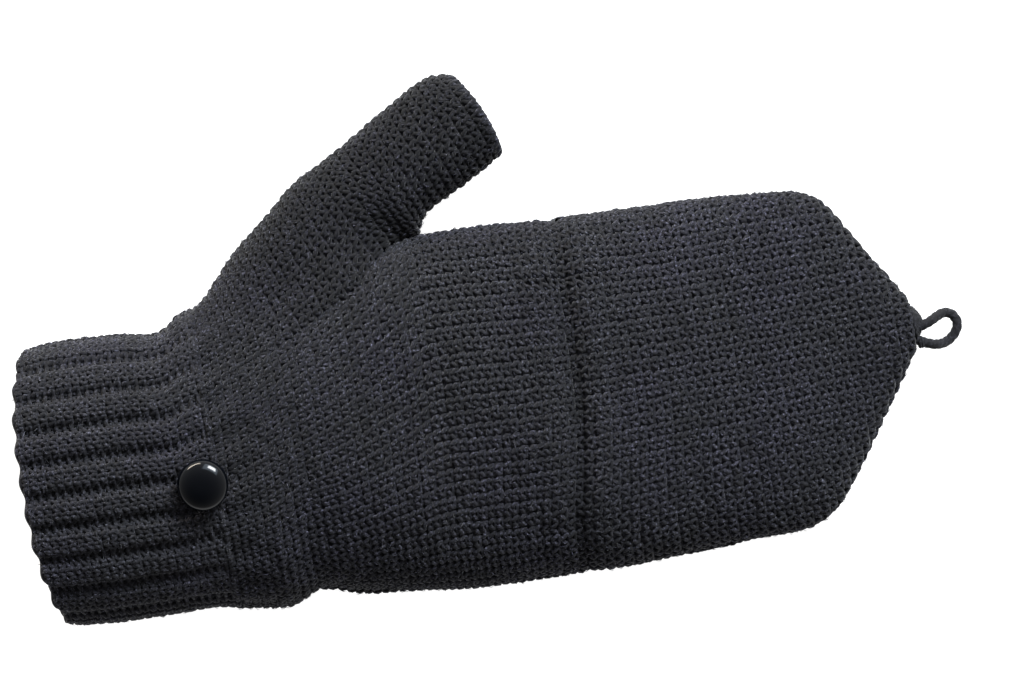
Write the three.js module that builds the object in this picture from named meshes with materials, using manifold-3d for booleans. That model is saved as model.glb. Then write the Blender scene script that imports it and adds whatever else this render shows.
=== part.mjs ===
// Convertible flip-top mitten for the right hand, knitted, lying palm down as if a hand filled it.
// Millimetres. +X runs from the wrist to the fingertips, +Y is the thumb side and +Z is the back of the hand.
// The origin is under the middle of the mitten, on the surface that the palm rests on.
import * as THREE from 'three';
import { mergeVertices } from 'three/addons/utils/BufferGeometryUtils.js';
import Module from 'manifold-3d';

const wasm = await Module();
wasm.setup();

// ---- Driving dimensions ----
const WALL = 2.6; // thickness of the knitted fabric
const GAP = 0.3; // play between pieces that touch
const CUFF_X = [-118, -71.6]; // wrist end and hand end of the cuff
const CUFF_EDGE = 4; // width of the cast-on edge
const MOUTH_BULGE = 6; // how far the cast-on edge bows out over the wrist
const RIBS = 16; // ribs round the cuff, each two wales wide
const RIB_DEPTH = 0.7;
const SEAM_X = 30.2; // where the cap is sewn across the back of the hand
const SEAM_HALF_GAP = 1; // clear strip on each side of the linking seam
const SEAM_RADIUS = 0.7;
const TIP_X = 125.4;
const FLAP_X = 6.5; // free edge of the cap across the palm
const WELT = 6; // width of the welt along that edge
const HAND_HEIGHT = 36; // over the knuckles
const TIP_HEIGHT = 9.5;
const THUMB_EDGE = 0.09; // bound-off edge's share of the thumb tube's length
const BUTTON = { x: -75.3, y: -28.5, radius: 7, dome: 3.8, rise: 2.2, thread: 1 };
const CORD_RADIUS = 1.35;

const MIDDLE = { x: 1.45, y: 0.52 }; // middle of the mitten's box, without its loop, in the drawing below

const TURN = Math.PI * 2;

// ---- Shape of the mitten ----

// A value known at a few places, joined by a Catmull-Rom curve.
function profile(keys) {
  const slope = (i) => {
    const a = keys[Math.max(i - 1, 0)];
    const b = keys[Math.min(i + 1, keys.length - 1)];
    return (b[1] - a[1]) / (b[0] - a[0]);
  };
  return (x) => {
    let i = 0;
    while (i < keys.length - 2 && x > keys[i + 1][0]) i++;
    const [x0, y0] = keys[i];
    const [x1, y1] = keys[i + 1];
    const span = x1 - x0;
    const t = THREE.MathUtils.clamp((x - x0) / span, 0, 1);
    const t2 = t * t;
    const t3 = t2 * t;
    return (2 * t3 - 3 * t2 + 1) * y0 + (t3 - 2 * t2 + t) * span * slope(i)
      + (3 * t2 - 2 * t3) * y1 + (t3 - t2) * span * slope(i + 1);
  };
}

// Outline seen from above: the little-finger side, the thumb side and the ridge of the back.
const littleSide = profile([
  [-124, -58.5], [-112, -61.2], [-92, -61.8], [-78, -62.2], [-64, -64], [-48, -63.2], [-20, -67.3],
  [0, -69.6], [31, -69.8], [70, -69.4], [86, -69], [95, -65.2], [102, -58], [119, -33.6], [TIP_X, -22],
]);
const thumbSide = profile([
  [-124, 14.5], [-112, 16.5], [-92, 15.6], [-78, 14.3], [-64, 17.5], [-48, 21.5], [-20, 27.5],
  [0, 29.4], [31, 27.1], [70, 26], [94, 23.7], [101, 21.5], [106, 16.8], [119, -5.4], [TIP_X, -14.5],
]);
const ridge = profile([[-124, 43.4], [-92, 44.2], [-48, 41.9], [SEAM_X, HAND_HEIGHT], [TIP_X, TIP_HEIGHT]]);

// A point on an oval: half is its half width, top and bottom are its reach above and below its widest level,
// and crown and sole say how square its upper and lower halves are.
function ovalPoint({ centre, across, half, top, bottom, crown, sole = 3.2, floor }, angle, inset) {
  const c = Math.cos(angle);
  const s = Math.sin(angle);
  const power = 2 / (s > 0 ? crown : sole);
  const height = (s > 0 ? top : bottom) - inset;
  const z = centre.z + height * Math.sign(s) * Math.abs(s) ** power;
  return centre.clone()
    .addScaledVector(across, (half - inset) * Math.sign(c) * Math.abs(c) ** power)
    .setZ(Math.max(z, floor + inset));
}

// The mitten's own section at x, flattened where it rests.
function handSection(x) {
  const low = littleSide(x);
  const high = thumbSide(x);
  const top = ridge(x);
  const widest = 0.42 * top;
  return {
    centre: new THREE.Vector3(x, (low + high) / 2, widest),
    across: new THREE.Vector3(0, 1, 0),
    half: (high - low) / 2,
    top: top - widest,
    bottom: widest + 0.8,
    crown: 2.35,
    floor: 0,
  };
}

// Where the free edge of the cap crosses the palm side, at each angle round the mitten.
const flapEdge = (angle) => FLAP_X + (SEAM_X + 2 - FLAP_X) * Math.cos(angle) ** 4;

// Under the cap's flap the hand is a fabric's thickness smaller.
function handPoint(x, angle, inset) {
  const edge = flapEdge(angle);
  const covered = Math.sin(angle) < 0 ? THREE.MathUtils.smoothstep(x, edge - 9, edge - 3) : 0;
  return ovalPoint(handSection(x), angle, inset + covered * (WALL + 3 * GAP));
}

// The thumb is a run of ovals from inside the hand to its mouth. OUTER and INNER are their two sides.
const thumbTrack = {
  outerX: profile([[0, -56], [1, -60.3], [2, -45], [3, -20], [4, 7.6]]),
  outerY: profile([[0, 12], [1, 29.4], [2, 43.6], [3, 59.2], [4, 70.9]]),
  innerX: profile([[0, -24], [1, -10], [2, -5.6], [3, -4.7], [4, 20.9]]),
  innerY: profile([[0, 10], [1, 24.5], [2, 31.4], [3, 33.8], [4, 50.6]]),
  top: profile([[0, 31], [1, 32.5], [2, 31.5], [3, 29], [4, 26.5]]),
  bottom: profile([[0, 8], [1, 4], [2, 2.6], [3, 2.4], [4, 3]]),
};

function thumbPoint(s, angle, inset) {
  const outer = new THREE.Vector3(thumbTrack.outerX(s), thumbTrack.outerY(s), 0);
  const inner = new THREE.Vector3(thumbTrack.innerX(s), thumbTrack.innerY(s), 0);
  const middle = (thumbTrack.top(s) + thumbTrack.bottom(s)) / 2;
  const across = outer.clone().sub(inner);
  return ovalPoint({
    centre: outer.add(inner).multiplyScalar(0.5).setZ(middle),
    half: across.length() / 2,
    across: across.normalize(),
    top: thumbTrack.top(s) - middle,
    bottom: middle - thumbTrack.bottom(s),
    crown: 2.4,
    floor: 0,
  }, angle, inset);
}

// ---- Solids ----

// A geometry from points and triangles, turned so that its faces point out.
function solidGeometry(points, triangles) {
  let volume = 0;
  for (const [a, b, c] of triangles) volume += points[a].dot(points[b].clone().cross(points[c]));
  const index = triangles.flatMap(([a, b, c]) => (volume > 0 ? [a, b, c] : [a, c, b]));
  const geometry = new THREE.BufferGeometry();
  geometry.setAttribute('position', new THREE.Float32BufferAttribute(points.flatMap((p) => p.toArray()), 3));
  geometry.setIndex(index);
  return geometry;
}

// Angles that cut a section's outline from one angle to another into equal lengths.
function evenAngles(pointAt, [from, to], count) {
  const steps = 360;
  const angleAt = (i) => from + ((to - from) * i) / steps;
  const lengths = [0];
  let last = pointAt(from);
  for (let i = 1; i <= steps; i++) {
    const next = pointAt(angleAt(i));
    lengths.push(lengths[i - 1] + next.distanceTo(last));
    last = next;
  }
  const angles = [];
  let i = 0;
  for (let k = 0; k <= count; k++) {
    const wanted = (lengths[steps] * k) / count;
    while (i < steps - 1 && lengths[i + 1] < wanted) i++;
    const part = (wanted - lengths[i]) / (lengths[i + 1] - lengths[i]);
    angles.push(angleAt(i + part));
  }
  return angles;
}

// A fabric wall. point(t, angle, inset) is on it at share t of its length; span is the run of angles it covers.
function fabric({ rows, around, span = [0, TURN], point, inset = 0, thickness = WALL, ripple = () => 0 }) {
  const closed = span[1] - span[0] > TURN - 1e-6;
  const columns = closed ? around : around + 1;
  const points = [];
  for (let i = 0; i <= rows; i++) {
    const angles = evenAngles((angle) => point(i / rows, angle, inset), span, around);
    for (const depth of [inset, inset + thickness]) {
      for (let j = 0; j < columns; j++) points.push(point(i / rows, angles[j], depth + ripple(j)));
    }
  }
  const at = (layer, i, j) => (2 * i + layer) * columns + (j % columns);
  const triangles = [];
  const quad = (a, b, c, d) => triangles.push([a, b, c], [a, c, d]);
  for (let j = 0; j < around; j++) {
    for (let i = 0; i < rows; i++) {
      quad(at(0, i, j), at(0, i + 1, j), at(0, i + 1, j + 1), at(0, i, j + 1));
      quad(at(1, i, j), at(1, i, j + 1), at(1, i + 1, j + 1), at(1, i + 1, j));
    }
    quad(at(0, 0, j), at(0, 0, j + 1), at(1, 0, j + 1), at(1, 0, j));
    quad(at(0, rows, j), at(1, rows, j), at(1, rows, j + 1), at(0, rows, j + 1));
  }
  for (let i = 0; i < rows && !closed; i++) {
    quad(at(0, i, 0), at(1, i, 0), at(1, i + 1, 0), at(0, i + 1, 0));
    quad(at(0, i, around), at(0, i + 1, around), at(1, i + 1, around), at(1, i, around));
  }
  return solidGeometry(points, triangles);
}

// The filled space inside a tube of ovals, with flat ends.
function filled({ rows, around, point, inset }) {
  const points = [];
  for (let i = 0; i <= rows; i++) {
    const angles = evenAngles((angle) => point(i / rows, angle, inset), [0, TURN], around);
    for (let j = 0; j < around; j++) points.push(point(i / rows, angles[j], inset));
  }
  const triangles = [];
  const at = (i, j) => i * around + (j % around);
  for (let j = 0; j < around; j++) {
    for (let i = 0; i < rows; i++) {
      triangles.push([at(i, j), at(i + 1, j), at(i + 1, j + 1)], [at(i, j), at(i + 1, j + 1), at(i, j + 1)]);
    }
  }
  for (const i of [0, rows]) {
    const middle = points.length;
    const ring = points.slice(at(i, 0), at(i, 0) + around);
    points.push(ring.reduce((sum, p) => sum.add(p), new THREE.Vector3()).divideScalar(around));
    for (let j = 0; j < around; j++) {
      triangles.push(i === 0 ? [middle, at(i, j), at(i, j + 1)] : [middle, at(i, j + 1), at(i, j)]);
    }
  }
  return solidGeometry(points, triangles);
}

function toManifold(geometry) {
  const bare = geometry.clone();
  bare.deleteAttribute('normal');
  bare.deleteAttribute('uv');
  const merged = mergeVertices(bare, 1e-4);
  return new wasm.Manifold(new wasm.Mesh({
    numProp: 3,
    vertProperties: merged.attributes.position.array,
    triVerts: Uint32Array.from(merged.index.array),
  }));
}

// The largest piece that is left of one geometry after others are cut from it.
function cut(geometry, ...tools) {
  const left = tools.reduce((solid, tool) => solid.subtract(toManifold(tool)), toManifold(geometry));
  const largest = left.decompose().reduce((a, b) => (a.volume() > b.volume() ? a : b));
  const mesh = largest.getMesh();
  const result = new THREE.BufferGeometry();
  result.setAttribute('position', new THREE.Float32BufferAttribute(mesh.vertProperties, 3));
  result.setIndex(Array.from(mesh.triVerts));
  return result;
}

// A round cord along points, with flat ends.
function cord(points, radius, steps, sides = 8) {
  const section = new THREE.Shape(
    Array.from({ length: sides }, (_, k) => new THREE.Vector2(
      radius * Math.cos((TURN * k) / sides), radius * Math.sin((TURN * k) / sides),
    )),
  );
  return new THREE.ExtrudeGeometry(section, { steps, extrudePath: new THREE.CatmullRomCurve3(points) });
}

// ---- Pieces ----

const mitten = new THREE.Group();
const knit = { color: 0x2b2c31, roughness: 0.95, metalness: 0 };
const edgeKnit = { ...knit, color: 0x26272b };
const yarn = { ...knit, color: 0x1d1e21 };
const gloss = { color: 0x0b0b0d, roughness: 0.12, metalness: 0 };

function add(name, geometry, look, parent = mitten) {
  geometry.computeVertexNormals();
  const mesh = new THREE.Mesh(geometry, new THREE.MeshStandardMaterial(look));
  mesh.name = name;
  parent.add(mesh);
  return mesh;
}

// Share of a run, as a point function's t, turned into a place along it.
const along = (from, to) => (t) => THREE.MathUtils.lerp(from, to, t);

// Cuff: ribbed wall with its cast-on edge, both with a mouth that bows out over the wrist.
function buildCuff() {
  const rippleAt = (j) => (j % 4 < 2 ? 0 : RIB_DEPTH);
  const bow = (angle) => MOUTH_BULGE * Math.abs(Math.sin(angle)) ** 1.5;
  const ribPoint = (from, to) => (t, angle, inset) => {
    const x = along(from, to)(t);
    const share = THREE.MathUtils.clamp((CUFF_X[1] - x) / (CUFF_X[1] - CUFF_X[0]), 0, 1);
    const p = ovalPoint(handSection(x), angle, inset);
    p.x -= bow(angle) * share;
    return p;
  };
  const run = { around: 4 * RIBS, ripple: rippleAt };
  const edgeStart = CUFF_X[0] + CUFF_EDGE;
  add('cuff_edge', fabric({ ...run, rows: 1, point: ribPoint(CUFF_X[0], edgeStart - GAP) }), edgeKnit);
  add('cuff_rib', fabric({ ...run, rows: 3, point: ribPoint(edgeStart, CUFF_X[1] - GAP) }), knit);
}

// Hand tube and thumb gusset, cut where they meet.
function buildHandAndGusset() {
  const finer = -4; // from here on the rows lie closer, where the hand narrows under the flap
  const early = along(CUFF_X[1], finer);
  const late = along(finer, SEAM_X - SEAM_HALF_GAP);
  const handX = (t) => (t < 0.5 ? early(2 * t) : late(2 * t - 1));
  const hand = (t, angle, inset) => handPoint(handX(t), angle, inset);
  const gusset = (t, angle, inset) => thumbPoint(along(0, 3)(t), angle, inset);
  const handWall = fabric({ rows: 14, around: 40, point: hand });
  const gussetWall = fabric({ rows: 7, around: 24, point: gusset });
  const handSpace = filled({ rows: 14, around: 40, point: hand, inset: -GAP });
  const gussetSpace = filled({ rows: 7, around: 24, point: gusset, inset: -GAP / 2 });
  add('hand_body', cut(handWall, gussetSpace), knit);
  add('thumb_gusset', cut(gussetWall, handSpace), knit);
}

// Open half-thumb tube with its bound-off edge.
function buildThumb() {
  const tubePoint = (from, to) => (t, angle, inset) => thumbPoint(along(from, to)(t), angle, inset);
  const edgeStart = 4 - THUMB_EDGE;
  add('thumb_tube', fabric({ rows: 3, around: 24, point: tubePoint(3.012, edgeStart - 0.01) }), knit);
  add('thumb_edge', fabric({ rows: 1, around: 24, point: tubePoint(edgeStart, 4) }), edgeKnit);
}

// Half-finger stubs inside the cap: [name, thumb-side edge, little-side edge, height at the base, end].
function buildStubs() {
  const stubs = [
    ['index_stub', 21.6, 1.2, 24.6, 57],
    ['middle_stub', 0.7, -21.9, 27.8, 61],
    ['ring_stub', -22.4, -44.2, 27.2, 59],
    ['little_stub', -44.7, -63.2, 22.6, 54],
  ];
  const base = SEAM_X - SEAM_HALF_GAP + GAP;
  const rise = WALL + 6 * GAP;
  for (const [name, high, low, height, end] of stubs) {
    const point = (t, angle, inset) => {
      const x = along(base, end)(t);
      const top = height - 0.17 * (x - base);
      const middle = (top + rise) / 2;
      return ovalPoint({
        centre: new THREE.Vector3(x, (high + low) / 2, middle),
        across: new THREE.Vector3(0, 1, 0),
        half: (high - low) / 2,
        top: top - middle,
        bottom: middle - rise,
        crown: 2.4,
        sole: 2.2,
        floor: rise,
      }, angle, inset);
    };
    add(name, fabric({ rows: 2, around: 20, point, thickness: 2.2 }), knit);
  }
}

// The cap: its back half starts at the seam, its palm half at the welt on the palm, and both end in the tip.
function buildCap() {
  const split = 0.012;
  const backStart = SEAM_X + SEAM_HALF_GAP;
  const back = (t, angle, inset) => ovalPoint(handSection(along(backStart, TIP_X)(t ** 0.85)), angle, inset);
  const palmBetween = (from, to) => (t, angle, inset) => (
    ovalPoint(handSection(along(from(angle), to(angle))(t)), angle, inset)
  );
  const palmSpan = [Math.PI + split, TURN - split];
  const weltEnd = (angle) => flapEdge(angle) + WELT;
  add('cap_back', fabric({ rows: 10, around: 20, span: [split, Math.PI - split], point: back }), knit);
  add('cap_palm', fabric({
    rows: 10, around: 20, span: palmSpan, point: palmBetween((angle) => weltEnd(angle) + GAP, () => TIP_X),
  }), knit);
  add('cap_welt', fabric({ rows: 1, around: 20, span: palmSpan, point: palmBetween(flapEdge, weltEnd) }), edgeKnit);
}

// Linking seam: one cord of yarn in the clear strip, over the back from side to side.
function buildSeam() {
  const section = handSection(SEAM_X);
  const from = 0.35;
  const points = Array.from({ length: 17 }, (_, k) => (
    ovalPoint(section, from + ((Math.PI - 2 * from) * k) / 16, SEAM_RADIUS + 0.4)
  ));
  add('cap_seam', cord(points, SEAM_RADIUS, 20), yarn);
}

// The loop leaves the tip, slopes down to the surface and comes back; the knot holds both ends.
function buildLoop() {
  const route = [
    [128, -18.5, 6.2], [129.2, -18, 5.6], [130.9, -17.1, 3.9], [132.8, -16.6, 2.3], [134.8, -17.4, 1.5],
    [135.9, -19.6, 1.4], [135.3, -21.9, 1.4], [133.6, -23.7, 1.6], [131.5, -24.7, 2.8], [129.4, -25.1, 5.4],
    [128, -25.2, 6.2],
  ];
  add('tip_loop', cord(route.map((p) => new THREE.Vector3(...p)), CORD_RADIUS, 24), yarn);
  const knot = new THREE.BoxGeometry(1.2, 9, 3.6);
  knot.translate(TIP_X + GAP + 0.6, -21.9, 6.2);
  add('loop_knot', knot, yarn);
}

// Domed shank button, and the thread stalk that it turns and rocks on.
function buildButton() {
  const { x, y, radius, dome, rise, thread } = BUTTON;
  const surface = ridge(x) - 0.1;
  const sphere = (radius ** 2 + dome ** 2) / (2 * dome);
  const sweep = Math.asin(radius / sphere);
  const outline = [[0, -0.2], [radius - 1.2, -0.2], [radius - 0.3, 0], [radius, 0.35]];
  const crownLevel = dome - sphere;
  for (let k = 1; k <= 8; k++) {
    const angle = sweep * (1 - k / 8);
    outline.push([k === 8 ? 0 : sphere * Math.sin(angle), crownLevel + sphere * Math.cos(angle) + 0.35]);
  }
  const cap = new THREE.LatheGeometry(outline.map(([r, z]) => new THREE.Vector2(r, z)), 24);
  cap.rotateX(Math.PI / 2);
  cap.translate(x, y, surface + rise);
  add('button', cap, gloss);
  const stalk = new THREE.CylinderGeometry(thread, thread * 1.3, rise - 0.2 - 2 * GAP, 12);
  stalk.rotateX(Math.PI / 2);
  stalk.translate(x, y, surface + (rise - 0.2) / 2);
  add('button_thread', stalk, yarn);
}

buildCuff();
buildHandAndGusset();
buildThumb();
buildStubs();
buildCap();
buildSeam();
buildLoop();
buildButton();
mitten.position.set(-MIDDLE.x, -MIDDLE.y, 0);

export default mitten;
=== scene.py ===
import math

import bpy
import numpy as np
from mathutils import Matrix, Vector


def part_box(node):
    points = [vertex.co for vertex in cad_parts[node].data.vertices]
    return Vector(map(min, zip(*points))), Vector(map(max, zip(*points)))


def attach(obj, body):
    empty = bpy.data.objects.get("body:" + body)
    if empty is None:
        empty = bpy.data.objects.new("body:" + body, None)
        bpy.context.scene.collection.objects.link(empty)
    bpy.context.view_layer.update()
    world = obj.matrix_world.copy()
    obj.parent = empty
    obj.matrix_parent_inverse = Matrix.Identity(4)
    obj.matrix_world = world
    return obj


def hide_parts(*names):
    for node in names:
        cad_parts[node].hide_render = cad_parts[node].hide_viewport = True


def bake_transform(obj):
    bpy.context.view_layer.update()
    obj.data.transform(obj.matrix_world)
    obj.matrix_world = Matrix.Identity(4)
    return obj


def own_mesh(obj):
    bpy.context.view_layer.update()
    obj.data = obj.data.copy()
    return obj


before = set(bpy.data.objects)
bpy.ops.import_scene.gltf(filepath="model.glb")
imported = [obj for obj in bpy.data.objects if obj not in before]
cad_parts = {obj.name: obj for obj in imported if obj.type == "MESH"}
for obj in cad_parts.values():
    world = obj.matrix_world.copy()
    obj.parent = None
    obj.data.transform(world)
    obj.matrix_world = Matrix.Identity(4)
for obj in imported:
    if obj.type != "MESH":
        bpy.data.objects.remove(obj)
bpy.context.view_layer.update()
scene = bpy.context.scene

# ---------------------------------------------------------------- camera

ACROSS = 0.281          # width of the view at the height of the mitten's outline
DISTANCE = 3.2
camera_data = bpy.data.cameras.new("camera")
camera = bpy.data.objects.new("camera", camera_data)
scene.collection.objects.link(camera)
camera_data.sensor_width = 36
camera_data.lens = 36 * DISTANCE / ACROSS
camera_data.clip_start, camera_data.clip_end = 0.1, 20
camera.location = (0.0127, -0.0047, 0.015 + DISTANCE)
camera.rotation_euler = (0, 0, math.radians(-9.75))
scene.camera = camera

# ---------------------------------------------------------------- shape of the mitten, in millimetres

MIDDLE = np.array([1.45, 0.52, 0.0])   # origin of the row frame in the drawing below
MM = 0.001
TURN = 2 * math.pi
CUFF_START, CUFF_END = -118.0, -71.6
SEAM_X, TIP_X, FLAP_X = 30.2, 125.4, 6.5
CREASE_X, LAST_X = 29.2, TIP_X - 0.6       # last course of the hand, and of the cap
KNUCKLE_HEIGHT, TIP_HEIGHT = 36, 9.5
WIDEST = 0.42                              # share of the height where the section is widest
BACK_SQUARE, PALM_SQUARE = 2.35, 3.2       # how square the section's upper and lower halves are; 2 is round
rng = np.random.default_rng(7)


def smooth(x, a, b):
    """0 up to a, 1 from b on, and an easy rise between them."""
    t = np.clip((np.asarray(x, float) - a) / (b - a), 0, 1)
    return t * t * (3 - 2 * t)


def profile(*keys):
    """A value known at a few places, joined by a Catmull-Rom curve."""
    xs, ys = np.array(keys, float).T
    last = len(xs) - 1
    lo = np.maximum(np.arange(last + 1) - 1, 0)
    hi = np.minimum(np.arange(last + 1) + 1, last)
    slopes = (ys[hi] - ys[lo]) / (xs[hi] - xs[lo])

    def at(x):
        i = np.clip(np.searchsorted(xs, x) - 1, 0, last - 1)
        span = xs[i + 1] - xs[i]
        t = np.clip((x - xs[i]) / span, 0, 1)
        t2, t3 = t * t, t ** 3
        return ((2 * t3 - 3 * t2 + 1) * ys[i] + (t3 - 2 * t2 + t) * span * slopes[i]
                + (3 * t2 - 2 * t3) * ys[i + 1] + (t3 - t2) * span * slopes[i + 1])
    return at


little_side = profile(
    (-124, -58.5), (-112, -61.2), (-92, -61.8), (-78, -62.2), (-66, -64.4), (-57, -65.4), (-48.5, -62.4),
    (-38, -65.4), (-20, -67.6), (0, -69.8), (31, -70.3), (56, -69.9), (70, -69.2), (86, -68.7),
    (95, -64.4), (102, -56.2), (119, -32.2), (TIP_X, -22))
thumb_side = profile(
    (-124, 14.5), (-112, 16.5), (-92, 15.6), (-81, 14.4), (-74.5, 18.4), (-67, 19.8), (-48, 21.9),
    (-20, 27.5), (0, 29.0), (31, 27.1), (70, 26), (94, 23.9), (101, 21.9), (106, 17.8), (119, -4.0),
    (TIP_X, -14.0))
ridge = profile((-124, 43.4), (-92, 44.2), (-48, 41.9), (SEAM_X, KNUCKLE_HEIGHT),
                (TIP_X, TIP_HEIGHT))


def power(base, exponent):
    """Power of the size, with the sign kept."""
    return np.sign(base) * np.abs(base) ** exponent


def hand_oval(x, angle, inset=0.0):
    """Points of the mitten's own section at x. Angle 0 is the thumb side and a quarter turn the back."""
    x, angle = np.broadcast_arrays(np.asarray(x, float), np.asarray(angle, float))
    low, high, top = little_side(x), thumb_side(x), ridge(x)
    c, s = np.cos(angle), np.sin(angle)
    widest = WIDEST * top
    exponent = 2 / np.where(s > 0, BACK_SQUARE, PALM_SQUARE)
    reach = np.where(s > 0, top - widest, widest + 0.8) - inset
    y = (low + high) / 2 + ((high - low) / 2 - inset) * power(c, exponent)
    z = np.maximum(widest + reach * power(s, exponent), inset)
    return np.stack([x, y, z], -1)


def flap_edge(angle):
    """x of the cap's free edge round the palm: straight across, and up to the seam at both sides."""
    return FLAP_X + (SEAM_X + 2 - FLAP_X) * np.cos(angle) ** 4


def even(points, count):
    """The same run of points, spaced evenly."""
    steps = np.linalg.norm(np.diff(points, axis=0), axis=1)
    length = np.concatenate([[0], np.cumsum(steps)])
    wanted = np.linspace(0, length[-1], count)
    return np.stack([np.interp(wanted, length, points[:, k]) for k in range(3)], -1)


class Surface:
    """A fabric's middle surface as a grid over courses (rows) and wales (columns)."""

    def __init__(self, points, row0, row_step, wale0, wale_step):
        self.p = points
        self.origin, self.step = (row0, wale0), (row_step, wale_step)
        along = np.gradient(points, axis=0)
        across = np.gradient(points, axis=1)
        normal = np.cross(along, across)
        self.n = normal / np.maximum(np.linalg.norm(normal, axis=2, keepdims=True), 1e-9)

    def at(self, row, wale):
        """Points and normals at courses and wales, which need not be whole."""
        a = np.clip((row - self.origin[0]) / self.step[0], 0, self.p.shape[0] - 1.0001)
        b = np.clip((wale - self.origin[1]) / self.step[1], 0, self.p.shape[1] - 1.0001)
        i, j = a.astype(int), b.astype(int)
        s, t = (a - i)[..., None], (b - j)[..., None]

        def mix(g):
            return ((1 - s) * ((1 - t) * g[i, j] + t * g[i, j + 1])
                    + s * ((1 - t) * g[i + 1, j] + t * g[i + 1, j + 1]))
        normal = mix(self.n)
        return mix(self.p), normal / np.maximum(np.linalg.norm(normal, axis=-1, keepdims=True), 1e-9)


# ---------------------------------------------------------------- knitting

YARN = 0.62              # radius of the yarn
INNER = 0.80             # depth of the yarn's middle line below the mitten's outline
YARN_SIDES = 6
STITCH_STEPS = 10        # steps of yarn to a stitch
LEAN = 1.88              # how far the sides of a stitch lean past the straight
REACH = 0.52             # how far a stitch reaches into the courses on both sides
FIBRES = 3.2             # loose fibres to a stitch
FIBRE_RADIUS = 0.075
BACKING_STEP = 0.5       # courses between the rows of the inner layer


def grid_faces(rows, columns):
    """Quads of a grid of points that are numbered row by row."""
    i, j = np.meshgrid(np.arange(rows - 1), np.arange(columns - 1), indexing="ij")
    corner = i * columns + j
    return np.stack([corner, corner + 1, corner + columns + 1, corner + columns], -1).reshape(-1, 4)


def ring_faces(rings, sides):
    """Quads between closed rings of points, one ring after another."""
    i, k = np.meshgrid(np.arange(rings - 1), np.arange(sides), indexing="ij")
    k2 = (k + 1) % sides
    faces = np.stack([i * sides + k, i * sides + k2, (i + 1) * sides + k2, (i + 1) * sides + k], -1)
    return faces.reshape(-1, 4)


def sweep(path, reference, radius, sides):
    """Rings of points round a path. reference is a direction near its normal, and radius has a row for
    each ring."""
    tangent = np.gradient(path, axis=0)
    tangent /= np.maximum(np.linalg.norm(tangent, axis=1, keepdims=True), 1e-9)
    side = np.cross(tangent, reference)
    side /= np.maximum(np.linalg.norm(side, axis=1, keepdims=True), 1e-9)
    up = np.cross(side, tangent)
    angles = np.arange(sides) * TURN / sides
    ring = np.cos(angles)[None, :, None] * side[:, None] + np.sin(angles)[None, :, None] * up[:, None]
    return (path[:, None] + radius[..., None] * ring).reshape(-1, 3)


class Mesh:
    """Points and quads gathered piece by piece. kind is the material's place in the list, and a factor per
    point lightens
    or darkens it: the yarn's own random variation, with painted shade and painted fibre highlights."""

    def __init__(self):
        self.points, self.faces, self.kinds, self.tones, self.count = [], [], [], [], 0

    def add(self, points, faces, kind=0, tone=1.0):
        self.points.append(points)
        self.tones.append(np.broadcast_to(np.asarray(tone, np.float32), len(points)))
        self.faces.append(faces + self.count)
        self.kinds.append(np.full(len(faces), kind, np.int32))
        self.count += len(points)

    def build(self, name, materials):
        points = (np.concatenate(self.points) - MIDDLE) * MM
        faces = np.concatenate(self.faces)
        mesh = bpy.data.meshes.new(name)
        mesh.vertices.add(len(points))
        mesh.vertices.foreach_set("co", points.astype(np.float32).ravel())
        mesh.loops.add(faces.size)
        mesh.loops.foreach_set("vertex_index", faces.astype(np.int32).ravel())
        mesh.polygons.add(len(faces))
        mesh.polygons.foreach_set("loop_start", np.arange(0, faces.size, 4, dtype=np.int32))
        for m in materials:
            mesh.materials.append(m)
        mesh.polygons.foreach_set("material_index", np.concatenate(self.kinds))
        mesh.attributes.new("tone", "FLOAT", "POINT").data.foreach_set("value", np.concatenate(self.tones))
        mesh.update(calc_edges=True)
        mesh.polygons.foreach_set("use_smooth", np.ones(len(faces), bool))
        obj = bpy.data.objects.new(name, mesh)
        scene.collection.objects.link(obj)
        return obj


def tube(mesh, path, reference, radius, tone=1.0):
    """Sweeps a yarn of that radius along a path."""
    points = sweep(path, reference, np.full((len(path), 1), float(radius)), YARN_SIDES)
    tones = np.repeat(np.broadcast_to(tone, len(path)), YARN_SIDES)
    mesh.add(points, ring_faces(len(path), YARN_SIDES), 0, tones)


def backing(mesh, surface, rows, lo, hi, depth, columns=120, relief=None):
    """The fabric's inner layer, so that nothing shows through between the yarns. Painted shade: its plain
    colour stands in for the shade in the gaps between them.
    """
    rows = np.arange(rows[0], rows[1] + 1e-6, BACKING_STEP)
    w = np.linspace(0, 1, columns)[None, :]
    a, b = lo(rows)[:, None], hi(rows)[:, None]
    course, wale = np.repeat(rows[:, None], columns, 1), a + (b - a) * w
    p, n = surface.at(course, wale)
    height = np.full(course.shape, -float(depth))
    if relief is not None:
        height = height + relief(course, wale, p)
    p = p + height[..., None] * n
    mesh.add(p.reshape(-1, 3), grid_faces(len(rows), columns), 1)


def always(value):
    """The same wale at every course."""
    return lambda row: np.full(np.shape(row), float(value))


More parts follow.
